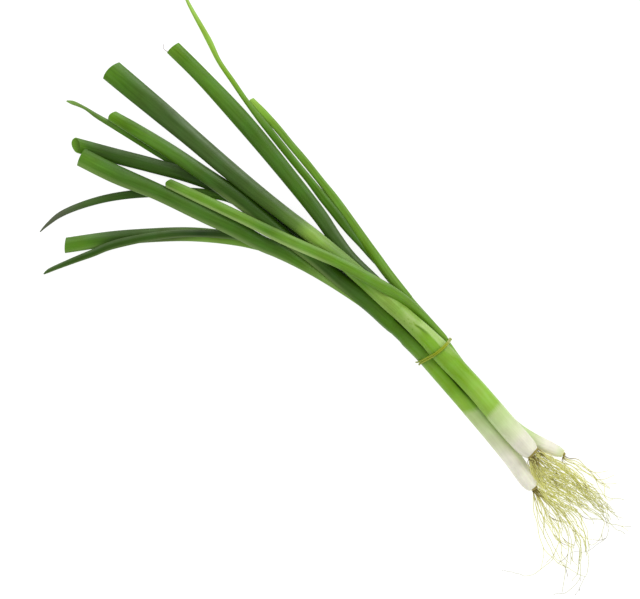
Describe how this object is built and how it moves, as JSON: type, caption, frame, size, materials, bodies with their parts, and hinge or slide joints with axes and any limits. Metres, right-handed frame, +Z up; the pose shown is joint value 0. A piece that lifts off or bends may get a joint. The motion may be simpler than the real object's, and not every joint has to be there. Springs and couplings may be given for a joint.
{
  "type": "spring onion bunch",
  "caption": "Tied bunch of spring onions lying on its side, with fanned green leaves, pale bulb ends and trailing fine roots.",
  "frame": {"origin": "on the surface the bunch lies on, under the middle of its bounding box", "axes": "+X along the bunch from leaf tips to roots, +Z up, +Y across to the small onion's side"},
  "size_m": [0.4614, 0.2009, 0.0252],
  "materials": {
    "shank": "smooth, moist plant skin, green at the neck and cream at the bulb",
    "leaf_dark": "satin leaf with a waxy bloom",
    "leaf_mid": "satin leaf with a waxy bloom",
    "leaf_pale": "satin leaf with a waxy bloom",
    "root": "dull root fibre",
    "rubber_band": "satin"
  },
  "bodies": {
    "root": {"onion_a_shank": "shank", "onion_b_shank": "shank", "onion_c_shank": "shank", "onion_a_leaf_1": "leaf_dark", "onion_a_leaf_2": "leaf_dark", "onion_a_leaf_3": "leaf_dark", "onion_a_leaf_4": "leaf_mid", "onion_b_leaf_1": "leaf_mid", "onion_b_leaf_2": "leaf_mid", "onion_b_leaf_3": "leaf_dark", "onion_b_leaf_4": "leaf_mid", "onion_b_leaf_5": "leaf_dark", "onion_c_leaf_1": "leaf_pale", "onion_c_leaf_2": "leaf_pale", "onion_c_leaf_3": "leaf_pale", "onion_a_roots": "root", "onion_b_roots": "root", "onion_c_roots": "root", "rubber_band": "rubber_band"}
  },
  "joints": []
}
